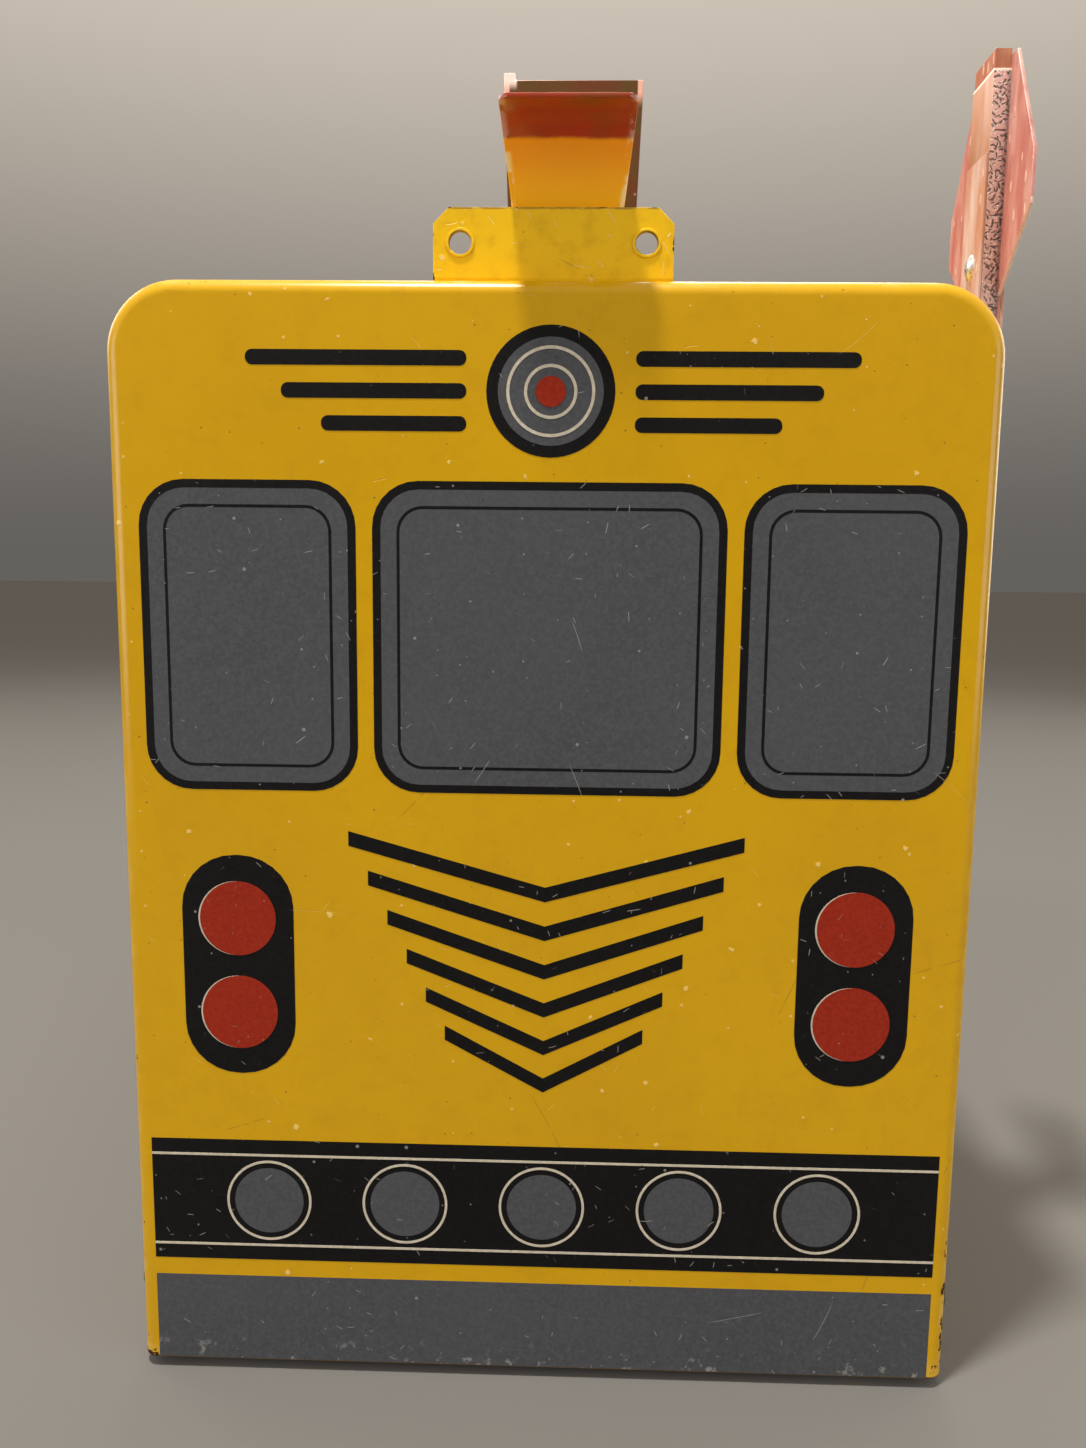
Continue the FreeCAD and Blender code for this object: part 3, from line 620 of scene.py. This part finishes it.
def wrap_enamel(name):
    """The strip on the flag's arm: faded red, with its front rubbed to primer and covered in flecks."""
    material, sockets, point, normal = new_finish(name)
    x, _, z = parts(point)
    _, facing_y, _ = parts(normal)
    streak = cloud(stretched(point, (1.0, 1.0, 0.22)), 5 * mm, 4.0, 0.6)
    paint = layer(rise(streak, 0.3, 0.75) * 0.6, arm_faded, strap_faded)
    rubbed = rise(facing_y, -0.6, -0.8)
    outwards = rise(x, arm_low.x, arm_high.x)
    flat = flat_place(point, normal)
    broad_flecks = hairlines(flat, 1.9 * mm, 3.6 * mm, 0.66 * mm, 0.9, 3.3)
    fine_flecks = hairlines(flat, 1.3 * mm, 2.4 * mm, 0.42 * mm, 0.9, 9.1)
    pale_flecks = hairlines(flat, 1.3 * mm, 2.2 * mm, 0.34 * mm, 0.75, 17.9)
    crowd = cloud(point, 3 * mm, 2.0) + 0.30 * outwards
    dark_flecks = larger(broad_flecks, fine_flecks) * rise(crowd, 0.30, 0.46)
    primer = layer(rise(cloud(point, 3 * mm, 3.0), 0.4, 0.7) * 0.5, arm_primer, sign_faded)
    primer = layer(dark_flecks * 0.85, primer, fleck_black)
    primer = layer(pale_flecks * 0.45, primer, pale_marks_and_highlight)
    primer = layer(rise(outwards, 0.72, 1.0) * 0.55, primer, fleck_black)
    # Pale along its folds and in a thin line at its top edge: painted highlight where these catch the
    # light.
    rim = larger(fold_share(point, normal) * 0.7, rise(z, wrap_top - 0.8 * mm, wrap_top - 0.4 * mm))
    paint = layer(rim, layer(rubbed, paint, primer), pale_marks_and_highlight)
    feed(sockets["Base Color"], paint)
    feed(sockets["Roughness"], 0.45 + 0.2 * rubbed)
    feed(sockets["Normal"], bumped(0.4 * streak - 0.8 * dark_flecks * rubbed, 0.12 * mm))
    return material


def clear_selection():
    if bpy.context.object and bpy.context.object.mode != "OBJECT":
        bpy.ops.object.mode_set(mode="OBJECT")
    bpy.ops.object.select_all(action="DESELECT")


def open_piece(name):
    """A new empty mesh at the origin, open in edit mode."""
    clear_selection()
    bpy.ops.object.add(type="MESH", location=(0, 0, 0))
    piece = bpy.context.object
    piece.name = name
    piece.data.name = name
    bpy.ops.object.mode_set(mode="EDIT")
    return piece


def close_piece(piece, body, finish, turn=0.0):
    """Shows all of a piece, turns it about the upright axis, and gives it its body and finish."""
    bpy.ops.mesh.reveal(select=False)
    bpy.ops.mesh.select_all(action="SELECT")
    bpy.ops.mesh.normals_make_consistent(inside=False)
    bpy.ops.object.mode_set(mode="OBJECT")
    piece.rotation_euler.z = turn
    bpy.ops.object.transform_apply(location=True, rotation=True, scale=True)
    piece.data.materials.append(finish)
    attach(piece, body)


def put_aside():
    """Hides what is finished in the open mesh, so that the next operators leave it alone."""
    bpy.ops.mesh.select_all(action="SELECT")
    bpy.ops.mesh.hide(unselected=False)


def pick_points(piece, wanted):
    mesh = bmesh.from_edit_mesh(piece.data)
    bpy.ops.mesh.select_all(action="DESELECT")
    for point in mesh.verts:
        point.select = wanted(point.co) and not point.hide
    mesh.select_flush(True)
    bmesh.update_edit_mesh(piece.data)


def raise_film(film):
    """Gives the flat outline just drawn its thickness, towards the front."""
    bpy.ops.mesh.select_all(action="SELECT")
    bpy.ops.mesh.extrude_region_move(TRANSFORM_OT_translate={"value": (0, -(film_sink + film), 0)})
    put_aside()


def upright_plane(middle, width, height):
    bpy.ops.mesh.primitive_plane_add(size=1, location=middle, rotation=(math.pi / 2, 0, 0))
    bpy.ops.transform.resize(value=(width, 1, height), center_override=middle)


def upright_circle(middle, radius, points):
    bpy.ops.mesh.primitive_circle_add(vertices=points, radius=radius, fill_type="NGON", location=middle,
                                      rotation=(math.pi / 2, 0, 0))


def keep_rim(line):
    """Leaves only a line of the flat outline just drawn, along its edge."""
    bpy.ops.mesh.select_all(action="SELECT")
    bpy.ops.mesh.inset(thickness=line)
    bpy.ops.mesh.delete(type="FACE")


def outline(face, x, z, width, height, corner=0.0):
    """A flat upright rectangle with rounded corners, facing the front."""
    upright_plane((x, face + film_sink, z), width, height)
    if corner:
        bpy.ops.mesh.bevel(offset=corner, segments=7, affect="VERTICES")


def panel(face, film, x, z, width, height, corner=0.0):
    outline(face, x, z, width, height, corner)
    raise_film(film)


def frame_line(face, film, x, z, width, height, corner, line):
    outline(face, x, z, width, height, corner)
    keep_rim(line)
    raise_film(film)


def disc(face, film, x, z, radius, points=56):
    upright_circle((x, face + film_sink, z), radius, points)
    raise_film(film)


def round_line(face, film, x, z, radius, line):
    upright_circle((x, face + film_sink, z), radius, 56)
    keep_rim(line)
    raise_film(film)


def chevron(piece, face, film, x, z, width, thickness, drop):
    """A bar bent down at its middle."""
    outline(face, x, z, width, thickness)
    bpy.ops.mesh.subdivide(number_cuts=1)
    pick_points(piece, lambda place: abs(place.x - x) < 0.1 * mm)
    bpy.ops.transform.translate(value=(0, 0, -drop))
    raise_film(film)


def softened(node, edge, body, finish):
    """A copy of a packed sheet piece with its cut edges rounded, which stands for that piece."""
    clear_selection()
    piece = bpy.data.objects.new(node + "_finished", frame["nodes"][node].data.copy())
    piece.data.name = piece.name
    bpy.context.scene.collection.objects.link(piece)
    piece.select_set(True)
    bpy.context.view_layer.objects.active = piece
    bpy.ops.mesh.customdata_custom_splitnormals_clear()
    bpy.ops.object.mode_set(mode="EDIT")
    bpy.ops.mesh.select_all(action="SELECT")
    bpy.ops.mesh.remove_doubles(threshold=0.002 * mm)
    bpy.ops.mesh.dissolve_limited(angle_limit=math.radians(0.5))
    bpy.ops.object.mode_set(mode="OBJECT")
    rounding = piece.modifiers.new("rounding", "BEVEL")
    rounding.limit_method = "ANGLE"
    rounding.angle_limit = math.radians(50)
    rounding.width = edge
    rounding.segments = 2
    rounding.use_clamp_overlap = False
    bpy.ops.object.modifier_apply(modifier=rounding.name)
    bpy.ops.object.shade_smooth_by_angle(angle=math.radians(35))
    flatness = piece.modifiers.new("flatness", "WEIGHTED_NORMAL")
    flatness.keep_sharp = True
    bpy.ops.object.modifier_apply(modifier=flatness.name)
    piece.data.materials.clear()
    piece.data.materials.append(finish)
    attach(piece, body)
    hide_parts(node)


def repaint(finish, *nodes):
    for node in nodes:
        mesh = frame["nodes"][node].data
        mesh.materials.clear()
        mesh.materials.append(finish)


def level(height):
    """A height above the ground in millimetres, in the frame."""
    return ground + height * mm


# Heights and widths of the door's print, in millimetres from the middle and the ground
band_low, band_high = 30, 62
band_half = 97.2
pin_inset, pin_line = 4, 0.6
kick_low, kick_high = (door_low.z - ground) / mm + 0.3, 25.5
pane_low, pane_high = 152, 221
pane_corner = 9
pane_line, pane_overlap = 1.6, 0.3
inner_inset, inner_corner, inner_line = 4, 6, 0.7
middle_pane_half = 39
side_pane_in, side_pane_out = 46, 93
lamp_height = 242.5
lamp_radius, lamp_rim, lamp_dot = 14.5, 2.6, 3.4
lamp_ring_insets, lamp_ring_line = (4.5, 8.5), 0.7
wing_lengths = (50, 42, 33)
wing_gap, wing_step, wing_thickness, wing_corner = 4.5, 7.2, 3.4, 1.6
housing_x = 74
housing_width, housing_height, housing_middle, housing_corner = 27, 55, 107, 13
signal_radius, signal_spread, signal_shift = 9.2, 11.8, 0.4
bar_count = 6
bar_top, bar_step, bar_thickness, bar_drop = 139, 9.6, 3.6, 13
bar_half, bar_taper = 47, 4.6
port_steps = (-2, -1, 0, 1, 2)
port_spacing, port_radius, port_ring_gap, port_ring_line = 34, 8.6, 2, 0.6


def door_panes(grown):
    """The three panes, as a middle and a width each, grown on every side by so many millimetres."""
    side_middle = (side_pane_in + side_pane_out) / 2
    side_width = side_pane_out - side_pane_in
    for middle, width in ((0, 2 * middle_pane_half), (-side_middle, side_width), (side_middle, side_width)):
        yield middle * mm, (width + 2 * grown) * mm


def door_grey(finish):
    piece = open_piece("door_print_grey")
    kick_middle = level((kick_low + kick_high) / 2)
    panel(door_face, grey_film, 0, kick_middle, 2 * band_half * mm, (kick_high - kick_low) * mm)
    pane_middle = level((pane_low + pane_high) / 2)
    for middle, width in door_panes(0):
        height = (pane_high - pane_low) * mm
        panel(door_face, grey_film, middle, pane_middle, width, height, pane_corner * mm)
    disc(door_face, black_film + grey_film, 0, level(lamp_height), (lamp_radius - lamp_rim) * mm)
    band_middle = level((band_low + band_high) / 2)
    for step in port_steps:
        disc(door_face, black_film + grey_film, step * port_spacing * mm, band_middle, port_radius * mm)
    close_piece(piece, "door", finish)


def door_black(finish):
    piece = open_piece("door_print_black")
    band_middle = level((band_low + band_high) / 2)
    panel(door_face, black_film, 0, band_middle, 2 * band_half * mm, (band_high - band_low) * mm)
    pane_middle = level((pane_low + pane_high) / 2)
    for middle, width in door_panes(pane_line):
        height = (pane_high - pane_low + 2 * pane_line) * mm
        frame_line(door_face, black_film, middle, pane_middle, width, height,
                   (pane_corner + pane_line) * mm, (pane_line + pane_overlap) * mm)
    for middle, width in door_panes(-inner_inset):
        height = (pane_high - pane_low - 2 * inner_inset) * mm
        frame_line(door_face, black_film, middle, pane_middle, width, height, inner_corner * mm,
                   inner_line * mm)
    disc(door_face, black_film, 0, level(lamp_height), lamp_radius * mm)
    for side in (-1, 1):
        for row, length in enumerate(wing_lengths):
            height = level(lamp_height + (1 - row) * wing_step)
            middle = side * (lamp_radius + wing_gap + length / 2) * mm
            panel(door_face, black_film, middle, height, length * mm, wing_thickness * mm, wing_corner * mm)
        panel(door_face, black_film, side * housing_x * mm, level(housing_middle), housing_width * mm,
              housing_height * mm, housing_corner * mm)
    for row in range(bar_count):
        width = 2 * (bar_half - row * bar_taper) * mm
        chevron(piece, door_face, black_film, 0, level(bar_top - row * bar_step), width, bar_thickness * mm,
                bar_drop * mm)
    close_piece(piece, "door", finish)


def door_pale(finish):
    piece = open_piece("door_print_pale")
    above_black = black_film + pale_film
    for height in (band_low + pin_inset, band_high - pin_inset):
        panel(door_face, above_black, 0, level(height), 2 * band_half * mm, pin_line * mm)
    band_middle = level((band_low + band_high) / 2)
    for step in port_steps:
        round_line(door_face, above_black, step * port_spacing * mm, band_middle,
                   (port_radius + port_ring_gap) * mm, port_ring_line * mm)
    for inset in lamp_ring_insets:
        round_line(door_face, above_black + grey_film, 0, level(lamp_height), (lamp_radius - inset) * mm,
                   lamp_ring_line * mm)
    for side in (-1, 1):
        for end in (-1, 1):
            height = level(housing_middle + end * signal_spread)
            disc(door_face, above_black, (side * housing_x - signal_shift) * mm, height, signal_radius * mm)
    close_piece(piece, "door", finish)


def door_red(finish):
    piece = open_piece("door_print_red")
    film = black_film + red_film + grey_film
    for side in (-1, 1):
        for end in (-1, 1):
            height = level(housing_middle + end * signal_spread)
            disc(door_face, film, side * housing_x * mm, height, signal_radius * mm)
    disc(door_face, film + grey_film, 0, level(lamp_height), lamp_dot * mm, 32)
    close_piece(piece, "door", finish)


# Heights and lengths of the prints on the walls and the rear, in millimetres
wall_print_front, wall_print_rear = 90, 22
wall_pane_count, wall_pane_gap = 3, 12
wall_band_front, wall_band_rear = 22, 24
rail_height, rail_line = 140, 1.2
rear_pane_half, rear_pane_gap = 84, 12
rear_pane_low, rear_pane_high = 158, 214
rear_signal_x, rear_signal_height, rear_signal_rim = 66, 104, 2.2


def wall_panes():
    """The middle and the width of each pane along a side wall."""
    front = shell_low.y + wall_print_front * mm
    rear = shell_high.y - wall_print_rear * mm
    gap = wall_pane_gap * mm
    width = (rear - front - (wall_pane_count - 1) * gap) / wall_pane_count
    return [(front + width / 2 + step * (width + gap), width) for step in range(wall_pane_count)]


def print_panes(face, panes, low, high, film, grey):
    """Panes between two heights: their grey, or the black lines round and inside them."""
    middle = level((low + high) / 2)
    height = (high - low) * mm
    for x, width in panes:
        if grey:
            panel(face, film, x, middle, width, height, pane_corner * mm)
        else:
            grown = 2 * pane_line * mm
            frame_line(face, film, x, middle, width + grown, height + grown, (pane_corner + pane_line) * mm,
                       (pane_line + pane_overlap) * mm)
            shrunk = 2 * inner_inset * mm
            frame_line(face, film, x, middle, width - shrunk, height - shrunk, inner_corner * mm,
                       inner_line * mm)


def wall_prints(side_name, side):
    """Panes, a rail line and a striped band on one side wall, drawn facing the front and then turned."""
    face = -shell_half
    turn = side * math.pi / 2
    panes = [(side * middle, width) for middle, width in wall_panes()]
    front = shell_low.y + wall_band_front * mm
    rear = shell_high.y - wall_band_rear * mm
    band_middle = side * (front + rear) / 2
    band_height = level((band_low + band_high) / 2)
    piece = open_piece("wall_print_grey_" + side_name)
    print_panes(face, panes, pane_low, pane_high, grey_film, True)
    close_piece(piece, "body", film_grey_finish, turn)
    piece = open_piece("wall_print_black_" + side_name)
    print_panes(face, panes, pane_low, pane_high, black_film, False)
    panel(face, black_film, band_middle, band_height, rear - front, (band_high - band_low) * mm)
    panel(face, black_film, band_middle, level(rail_height), rear - front, rail_line * mm)
    close_piece(piece, "body", film_black_finish, turn)
    piece = open_piece("wall_print_pale_" + side_name)
    for height in (band_low + pin_inset, band_high - pin_inset):
        panel(face, black_film + pale_film, band_middle, level(height), rear - front, pin_line * mm)
    close_piece(piece, "body", film_pale_finish, turn)


def rear_prints():
    face = -rear_high.y
    width = rear_pane_half - rear_pane_gap / 2
    middle = (rear_pane_half + rear_pane_gap / 2) / 2
    panes = [(side * middle * mm, width * mm) for side in (-1, 1)]
    band_height = level((band_low + band_high) / 2)
    piece = open_piece("rear_print_grey")
    print_panes(face, panes, rear_pane_low, rear_pane_high, grey_film, True)
    close_piece(piece, "body", film_grey_finish, math.pi)
    piece = open_piece("rear_print_black")
    print_panes(face, panes, rear_pane_low, rear_pane_high, black_film, False)
    panel(face, black_film, 0, band_height, 2 * rear_pane_half * mm, (band_high - band_low) * mm)
    for side in (-1, 1):
        disc(face, black_film, side * rear_signal_x * mm, level(rear_signal_height),
             (signal_radius + rear_signal_rim) * mm)
    close_piece(piece, "body", film_black_finish, math.pi)
    piece = open_piece("rear_print_pale")
    for height in (band_low + pin_inset, band_high - pin_inset):
        panel(face, black_film + pale_film, 0, level(height), 2 * rear_pane_half * mm, pin_line * mm)
    close_piece(piece, "body", film_pale_finish, math.pi)
    piece = open_piece("rear_print_red")
    for side in (-1, 1):
        disc(face, black_film + red_film, side * rear_signal_x * mm, level(rear_signal_height),
             signal_radius * mm)
    close_piece(piece, "body", film_red_finish, math.pi)


def round_edges(piece, width):
    """Rounds a finished piece's sharp edges and shades the rounding smooth."""
    rounding = piece.modifiers.new("rounding", "BEVEL")
    rounding.limit_method = "ANGLE"
    rounding.angle_limit = math.radians(40)
    rounding.width = width
    rounding.segments = 2
    bpy.ops.object.modifier_apply(modifier=rounding.name)
    bpy.ops.object.shade_smooth_by_angle(angle=math.radians(60))


def hole_burrs(finish):
    """The raised, uneven rim that punching left round each hole of the tab."""
    piece = open_piece("hole_burrs")
    for side in (-1, 1):
        middle = (side * hole_reach, tab_low.y + film_sink, hole_height)
        upright_circle(middle, hole_radius + burr_width + burr_overlap, 40)
        keep_rim(burr_width)
        bpy.ops.mesh.select_all(action="SELECT")
        bpy.ops.mesh.extrude_region_move(TRANSFORM_OT_translate={"value": (0, -burr_height, 0)})
        bpy.ops.transform.vertex_random(offset=burr_unevenness, seed=4 + side)
        put_aside()
    close_piece(piece, "door", finish)
    round_edges(piece, 0.09 * mm)


def arm_wrap(finish):
    """A thin strip folded round the front and the inner side of the flag's arm, above the strap."""
    piece = open_piece("flag_arm_wrap")
    middle = ((arm_low.x + arm_high.x) / 2, arm_low.y, (wrap_top + wrap_bottom) / 2)
    upright_plane(middle, arm_high.x - arm_low.x, wrap_top - wrap_bottom)
    bpy.ops.mesh.bisect(plane_co=(0, 0, wrap_fold), plane_no=(0, 0, 1))
    pick_points(piece, lambda place: place.x < middle[0] and place.z > wrap_fold - 0.1 * mm)
    bpy.ops.mesh.extrude_region_move(TRANSFORM_OT_translate={"value": (0, arm_high.y - arm_low.y, 0)})
    close_piece(piece, "flag", finish)
    wall = piece.modifiers.new("wall", "SOLIDIFY")
    wall.thickness = wrap_thickness
    wall.offset = 1
    wall.use_even_offset = True
    bpy.ops.object.modifier_apply(modifier=wall.name)
    round_edges(piece, 0.08 * mm)


# Finishes
enamel_door = yellow_enamel("yellow_enamel_door", door_edges, door_back)
enamel_shell = yellow_enamel("yellow_enamel_shell", shell_edges, shell_back)
enamel_rear = yellow_enamel("yellow_enamel_rear", fold_share, rear_back)
enamel_tab = tab_enamel("yellow_enamel_tab")
film_grey_finish = printed_film("printed_grey", film_grey, 0.42, 0.75, 0.26)
film_black_finish = printed_film("printed_black", film_black, 0.40, 0.8, 0.42)
film_red_finish = printed_film("printed_red", film_red, 0.34, 0.5, 0.35)
film_pale_finish = printed_film("printed_pale", film_pale, 0.40, 0.3, 0.35)
zinc = galvanised_sheet("galvanised_zinc")
rivet_finish = turned_metal("rivet_metal", rivet_light, rivet_dark, 0.26)
hinge_finish = turned_metal("hinge_rivet_metal", hinge_light, hinge_dark, 0.4)
washer_finish = turned_metal("washer_steel", washer_light, washer_dark, 0.32)
pull_finish = pull_enamel("pull_enamel")
catch_finish = catch_enamel("catch_enamel")
sign_finish = flag_enamel("flag_sign_enamel", sign_red, sign_faded)
arm_finish = flag_enamel("flag_arm_enamel", arm_red, arm_faded)
strap_finish = flag_enamel("flag_strap_enamel", arm_faded, strap_faded)
wrap_finish = wrap_enamel("flag_wrap_enamel")

# Sheet pieces with rounded edges
softened("door_panel", 0.2 * mm, "door", enamel_door)
softened("keeper_tab", 0.2 * mm, "door", enamel_tab)
softened("pull_tongue", 0.25 * mm, "door", pull_finish)
softened("catch_plate", 0.42 * mm, "catch", catch_finish)
softened("flag_sign", 0.3 * mm, "flag", sign_finish)
softened("flag_arm", 0.2 * mm, "flag", arm_finish)
softened("flag_inner_strap", 0.2 * mm, "flag", strap_finish)
softened("flag_outer_strap", 0.2 * mm, "flag", strap_finish)

# Prints
door_grey(film_grey_finish)
door_black(film_black_finish)
door_pale(film_pale_finish)
door_red(film_red_finish)
wall_prints("right", 1)
wall_prints("left", -1)
rear_prints()

# Small pieces
hole_burrs(enamel_tab)
arm_wrap(wrap_finish)

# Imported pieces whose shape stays
repaint(enamel_shell, "body_shell")
repaint(enamel_rear, "rear_panel")
repaint(zinc, "floor_pan")
repaint(rivet_finish, "rear_rivets", "floor_rivets", "tab_rivets", "catch_rivets", "flag_bracket_rivets",
        "flag_pivot_rivet", "flag_rivets")
repaint(hinge_finish, "hinge_rivet_left", "hinge_rivet_right")
repaint(washer_finish, "hinge_washers", "flag_spring_washer", "flag_pivot_bush")
repaint(catch_finish, "catch_anchor")
repaint(arm_finish, "flag_bracket")


def studio_floor():
    clear_selection()
    bpy.ops.mesh.primitive_plane_add(size=40, location=(0, 0, ground - 0.3 * mm))
    floor = bpy.context.object
    floor.name = "studio_floor"
    material = bpy.data.materials.new("studio_floor")
    material.use_nodes = True
    sockets = material.node_tree.nodes["Principled BSDF"].inputs
    sockets["Base Color"].default_value = floor_pale
    sockets["Roughness"].default_value = 1.0
    sockets["Specular IOR Level"].default_value = 0.0
    floor.data.materials.append(material)


def area_light(name, place, size, power, colour):
    lamp = bpy.data.lights.new(name, "AREA")
    lamp.shape = "DISK"
    lamp.size = size
    lamp.energy = power
    lamp.color = colour
    holder = bpy.data.objects.new(name, lamp)
    holder.location = place
    aim = Vector(lamp_target) - Vector(place)
    holder.rotation_euler = aim.to_track_quat("-Z", "Y").to_euler()
    bpy.context.scene.collection.objects.link(holder)


def studio_light():
    """A small lamp above the door, soft ones at its sides and behind, and a room lighter overhead."""
    for lamp in lamps:
        area_light(*lamp)
    world = bpy.data.worlds.new("studio")
    world.use_nodes = True
    nodes = world.node_tree.nodes
    direction = Value(nodes.new("ShaderNodeTexCoord").outputs["Generated"])
    _, _, upwards = parts(direction)
    room = layer(rise(upwards, 0.0, 0.7), room_low, room_high)
    feed(nodes["Background"].inputs["Color"], room)
    bpy.context.scene.world = world


def photo_camera():
    """The photograph's viewing angle, worked out from the door's four corners in it."""
    lens = bpy.data.cameras.new("photo_camera")
    lens.sensor_width = camera_sensor
    lens.lens = camera_lens
    lens.clip_start = 0.01
    camera = bpy.data.objects.new("photo_camera", lens)
    camera.location = camera_place
    camera.rotation_euler = [math.radians(angle) for angle in camera_turn]
    bpy.context.scene.collection.objects.link(camera)
    bpy.context.scene.camera = camera


studio_floor()
studio_light()
photo_camera()
bpy.context.scene.view_settings.view_transform = "Standard"
